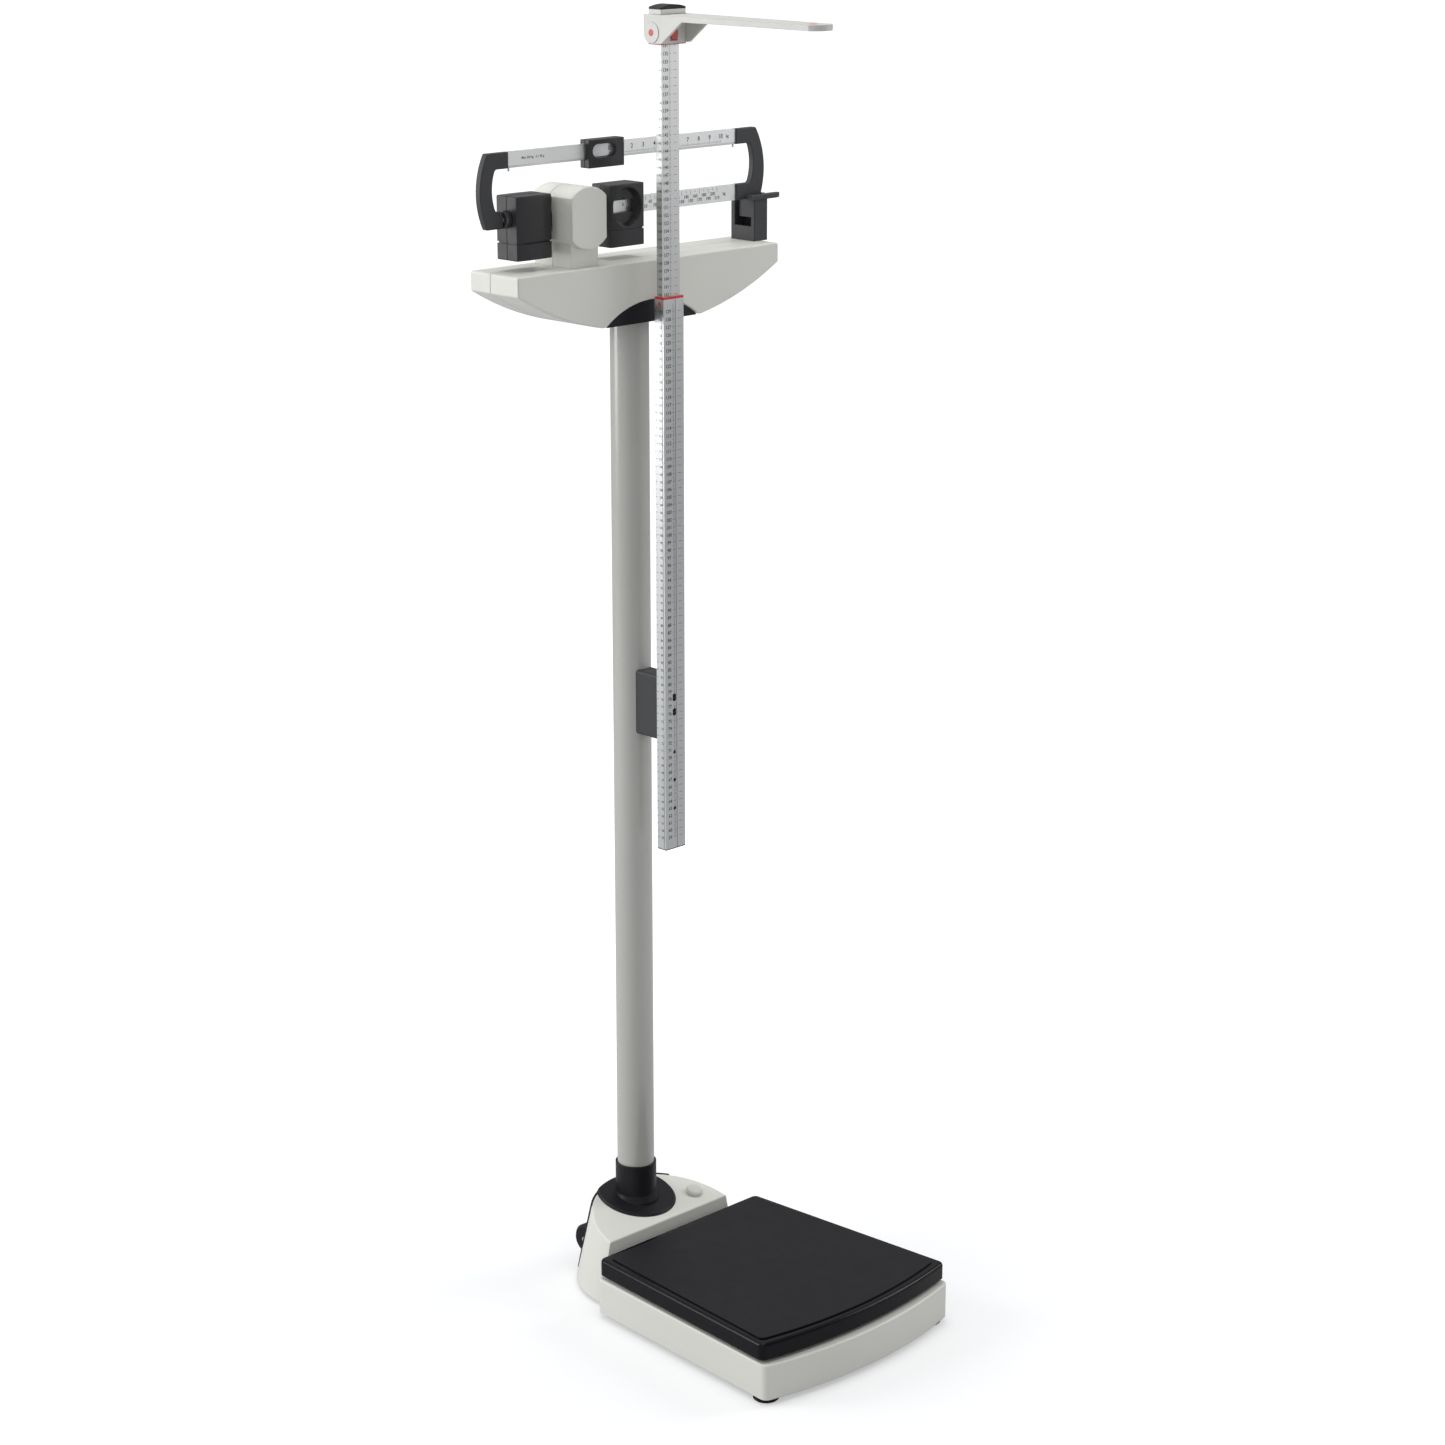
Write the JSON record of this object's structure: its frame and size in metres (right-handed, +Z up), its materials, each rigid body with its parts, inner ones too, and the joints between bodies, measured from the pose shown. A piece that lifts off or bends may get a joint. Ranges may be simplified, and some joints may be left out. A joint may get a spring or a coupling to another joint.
{
  "type": "physician beam scale",
  "caption": "Physician's beam scale: flared platform base, column, boat-shaped head with a two-bar sliding-weight beam, and a telescopic height rod with a folding arm.",
  "frame": {"origin": "on the floor, under the centre of the object's overall box", "axes": "+X along the beam towards its pointer end, -Y towards the person on the platform's front edge, +Z up"},
  "size_m": [0.5135, 0.5122, 1.7276],
  "materials": {
    "housing_grey": "satin moulded plastic",
    "column_grey": "powder coat, satin",
    "black_plastic": "fine grained",
    "black_rubber": "fine grained",
    "black_paint": "satin",
    "dark_grey": "fine grained",
    "poise_black": "painted, satin",
    "bar_aluminium": "satin anodised",
    "rod_aluminium": "satin anodised",
    "steel": "ground",
    "frame_steel": "dip painted",
    "knurled_steel": "knurled",
    "red_plastic": "gloss",
    "light_plastic": "satin moulded plastic"
  },
  "bodies": {
    "chassis": {"base_frame": "frame_steel", "base_housing": "housing_grey", "rear_hood": "housing_grey", "hood_back_panel": "black_plastic", "column_sleeve": "black_plastic", "column_tube": "column_grey", "knife_bearings": "steel", "castor_brackets": "steel", "castor_axles": "steel", "fixing_screws": "steel", "head_frame": "frame_steel", "head_front_shell": "housing_grey", "head_rear_shell": "housing_grey", "head_bottom_cover": "black_plastic", "tower_front_shell": "housing_grey", "tower_rear_shell": "housing_grey", "tower_cap": "housing_grey", "pointer_post": "dark_grey", "rod_bracket": "dark_grey", "outer_rod": "rod_aluminium", "rod_stop_ring": "red_plastic", "rod_bottom_plug": "black_plastic"},
    "beam": {"upper_bar": "bar_aluminium", "lower_bar": "bar_aluminium", "left_bracket": "dark_grey", "right_bracket": "dark_grey", "beam_hub": "steel", "beam_knives": "steel", "balance_spindle": "steel", "stop_pins": "steel"},
    "balance_nut": {"balance_nut": "knurled_steel"},
    "counterweight": {"counterweight_front": "poise_black", "counterweight_rear": "poise_black"},
    "lower_poise": {"lower_poise_front": "poise_black", "lower_poise_rear": "poise_black"},
    "upper_poise": {"upper_poise_front": "poise_black", "upper_poise_rear": "poise_black"},
    "transfer_lever": {"transfer_lever": "steel"},
    "beam_link": {"beam_link": "steel"},
    "draw_rod": {"draw_rod": "steel"},
    "long_lever": {"long_lever": "steel"},
    "short_lever": {"short_lever": "steel"},
    "platform": {"platform_carrier": "frame_steel", "platform_tray": "black_paint", "rubber_mat": "black_rubber"},
    "castor_wheel_left": {"castor_wheel_left": "black_rubber"},
    "castor_wheel_right": {"castor_wheel_right": "black_rubber"},
    "lock_knob": {"lock_knob": "light_plastic"},
    "foot_front_left": {"foot_front_left": "black_rubber"},
    "foot_front_right": {"foot_front_right": "black_rubber"},
    "foot_rear_left": {"foot_rear_left": "black_rubber"},
    "foot_rear_right": {"foot_rear_right": "black_rubber"},
    "arrest_lever": {"arrest_lever": "dark_grey"},
    "inner_rod": {"inner_rod": "rod_aluminium", "rod_stop_block": "light_plastic", "rod_cap": "black_plastic"},
    "head_slider": {"head_slider": "light_plastic", "arm_hinge_pins": "red_plastic"},
    "release_button": {"release_button": "red_plastic"},
    "measuring_arm": {"measuring_arm": "light_plastic"}
  },
  "joints": [
    {"name": "beam_tilt", "type": "hinge", "parent": "chassis", "child": "beam", "pos_m": [-0.107, 0.192, 1.463], "axis": [0, 1, 0], "range_deg": [-1, 1]},
    {"name": "transfer_lever_tilt", "type": "hinge", "parent": "chassis", "child": "transfer_lever", "pos_m": [-0.18, 0.192, 1.392], "axis": [0, 1, 0], "range_deg": [-0.26, 0.26]},
    {"name": "beam_link_slide", "type": "slide", "parent": "chassis", "child": "beam_link", "axis": [0, 0, 1], "range_m": [-0.0003, 0.0003]},
    {"name": "draw_rod_slide", "type": "slide", "parent": "chassis", "child": "draw_rod", "axis": [0, 0, 1], "range_m": [-0.0008, 0.0008]},
    {"name": "long_lever_tilt", "type": "hinge", "parent": "chassis", "child": "long_lever", "pos_m": [0, -0.203, 0.03], "axis": [1, 0, 0], "range_deg": [-0.12, 0.12]},
    {"name": "short_lever_tilt", "type": "hinge", "parent": "chassis", "child": "short_lever", "pos_m": [0, 0.097, 0.0415], "axis": [1, 0, 0], "range_deg": [-0.12, 0.12]},
    {"name": "platform_travel", "type": "slide", "parent": "chassis", "child": "platform", "axis": [0, 0, 1], "range_m": [-0.00006, 0.00006]},
    {"name": "lower_poise_slide", "type": "slide", "parent": "beam", "child": "lower_poise", "axis": [1, 0, 0], "range_m": [0, 0.168]},
    {"name": "upper_poise_slide", "type": "slide", "parent": "beam", "child": "upper_poise", "axis": [1, 0, 0], "range_m": [0, 0.1975]},
    {"name": "counterweight_slide", "type": "slide", "parent": "beam", "child": "counterweight", "axis": [1, 0, 0], "range_m": [0, 0.008]},
    {"name": "balance_turn", "type": "hinge", "parent": "beam", "child": "balance_nut", "pos_m": [-0.209, 0.192, 1.4735], "axis": [1, 0, 0], "range_deg": [0, 1441]},
    {"name": "arrest_turn", "type": "hinge", "parent": "chassis", "child": "arrest_lever", "pos_m": [0.231, 0.18, 1.465], "axis": [0, 0, 1], "range_deg": [0, 12]},
    {"name": "lock_knob_turn", "type": "hinge", "parent": "chassis", "child": "lock_knob", "pos_m": [0.0745, 0.1535, 0.09576], "axis": [0, -0.2334, 0.9724], "range_deg": [0, 90]},
    {"name": "castor_left_roll", "type": "hinge", "parent": "chassis", "child": "castor_wheel_left", "pos_m": [-0.0595, 0.226, 0.046], "axis": [1, 0, 0], "continuous": true},
    {"name": "castor_right_roll", "type": "hinge", "parent": "chassis", "child": "castor_wheel_right", "pos_m": [0.0595, 0.226, 0.046], "axis": [1, 0, 0], "continuous": true},
    {"name": "foot_front_left_turn", "type": "hinge", "parent": "chassis", "child": "foot_front_left", "pos_m": [-0.155, -0.215, 0], "axis": [0, 0, 1], "range_deg": [-1080, 1080]},
    {"name": "foot_front_right_turn", "type": "hinge", "parent": "chassis", "child": "foot_front_right", "pos_m": [0.155, -0.215, 0], "axis": [0, 0, 1], "range_deg": [-1080, 1080]},
    {"name": "foot_rear_left_turn", "type": "hinge", "parent": "chassis", "child": "foot_rear_left", "pos_m": [-0.104, 0.144, 0], "axis": [0, 0, 1], "range_deg": [-1080, 1080]},
    {"name": "foot_rear_right_turn", "type": "hinge", "parent": "chassis", "child": "foot_rear_right", "pos_m": [0.104, 0.144, 0], "axis": [0, 0, 1], "range_deg": [-1080, 1080]},
    {"name": "rod_extend", "type": "slide", "parent": "chassis", "child": "inner_rod", "axis": [0, 0, 1], "range_m": [-0.312, 0.375]},
    {"name": "head_slide", "type": "slide", "parent": "inner_rod", "child": "head_slider", "axis": [0, 0, 1], "range_m": [-0.49, 0]},
    {"name": "release_press", "type": "slide", "parent": "head_slider", "child": "release_button", "axis": [0, 1, 0], "range_m": [0, 0.0012], "stiffness_N_per_m": 400},
    {"name": "arm_fold", "type": "hinge", "parent": "head_slider", "child": "measuring_arm", "pos_m": [0, 0.12, 1.694], "axis": [1, 0, 0], "range_deg": [0, 90]}
  ],
  "couplings": [
    {"joint": "transfer_lever_tilt", "follows": "beam_tilt", "ratio": -0.2373},
    {"joint": "beam_link_slide", "follows": "beam_tilt", "m_per_rad": 0.014},
    {"joint": "draw_rod_slide", "follows": "beam_tilt", "m_per_rad": 0.0427},
    {"joint": "long_lever_tilt", "follows": "beam_tilt", "ratio": 0.1081},
    {"joint": "short_lever_tilt", "follows": "beam_tilt", "ratio": -0.1081},
    {"joint": "platform_travel", "follows": "beam_tilt", "m_per_rad": 0.00281},
    {"joint": "balance_turn", "follows": "counterweight_slide", "rad_per_m": 3141.6}
  ]
}
